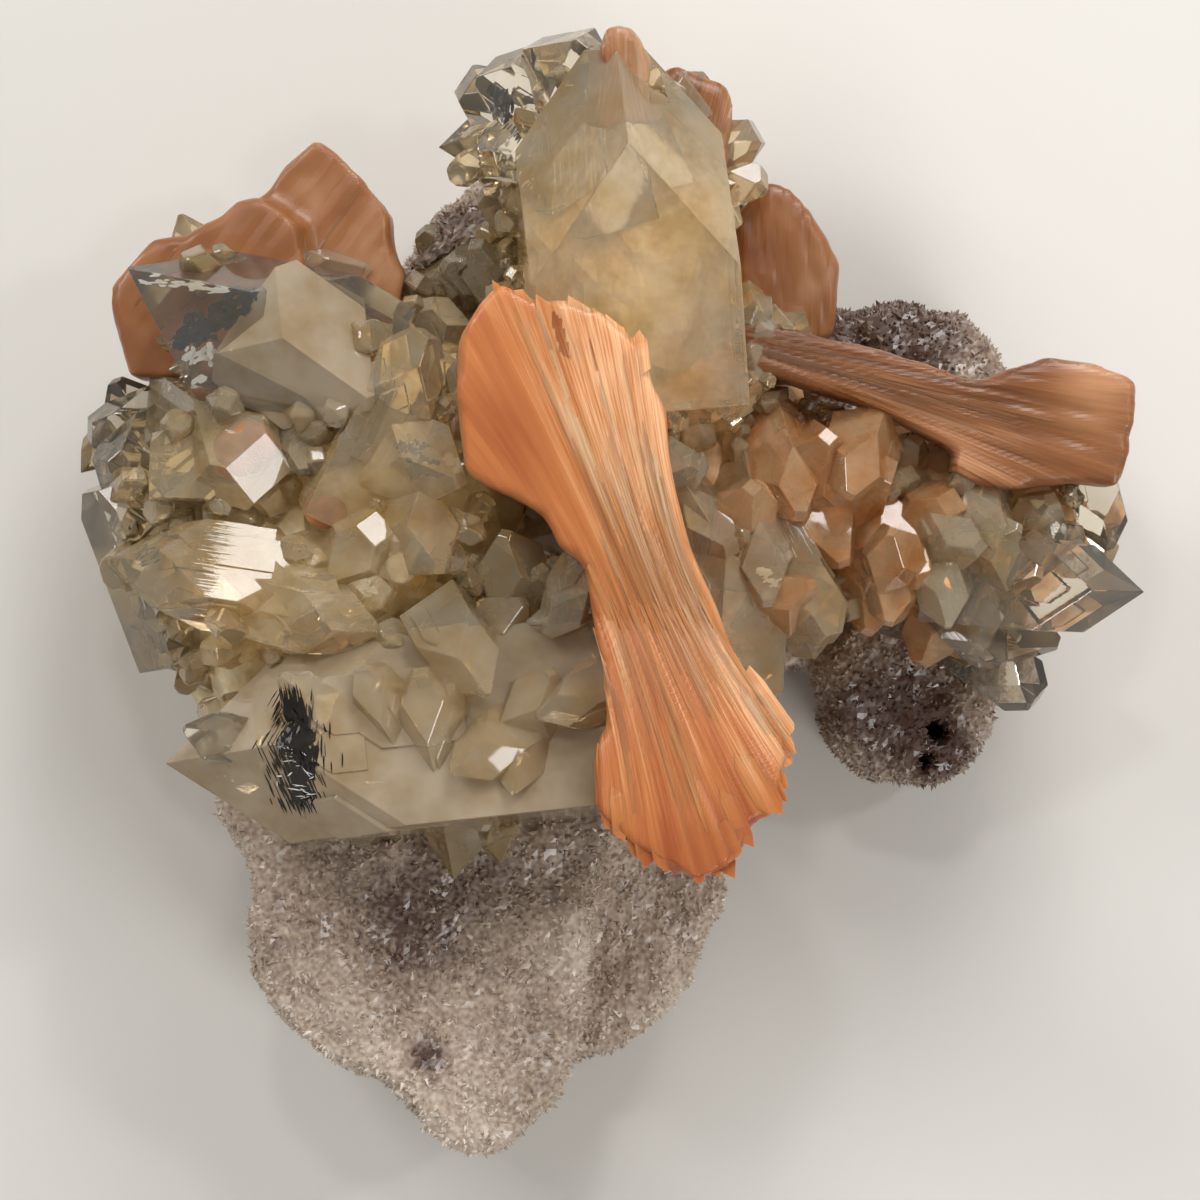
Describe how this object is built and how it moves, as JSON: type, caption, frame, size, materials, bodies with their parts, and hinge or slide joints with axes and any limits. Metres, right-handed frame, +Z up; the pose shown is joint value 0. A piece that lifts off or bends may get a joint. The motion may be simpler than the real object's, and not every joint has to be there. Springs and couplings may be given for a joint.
{
  "type": "apophyllite and stilbite cluster",
  "caption": "Mineral specimen: clear to milky blocky crystals with peach bow-tie sheaves on a sparkling grey matrix, lying on its flat back.",
  "frame": {"origin": "middle of the bounding box, on the surface that the specimen lies on", "axes": "+Z up out of the flat back of the matrix, towards the crystals; +Y towards the large block; +X towards the right arm, as seen from above"},
  "size_m": [0.1334, 0.1422, 0.0705],
  "materials": {
    "apophyllite": "glassy crystal faces, clear to milky, pale champagne to olive",
    "stilbite": "silky, finely striated, translucent peach to orange",
    "chalcedony": "grey-white druse of tiny quartz points, browner in the hollows"
  },
  "bodies": {
    "root": {"chalcedony_matrix": "chalcedony", "apophyllite_crystals": "apophyllite", "front_stilbite_bow_tie": "stilbite", "right_stilbite_bow_tie": "stilbite", "left_stilbite_blades": "stilbite", "rear_right_stilbite_blade": "stilbite", "top_stilbite_blade": "stilbite", "top_right_stilbite_blade": "stilbite"}
  },
  "joints": []
}
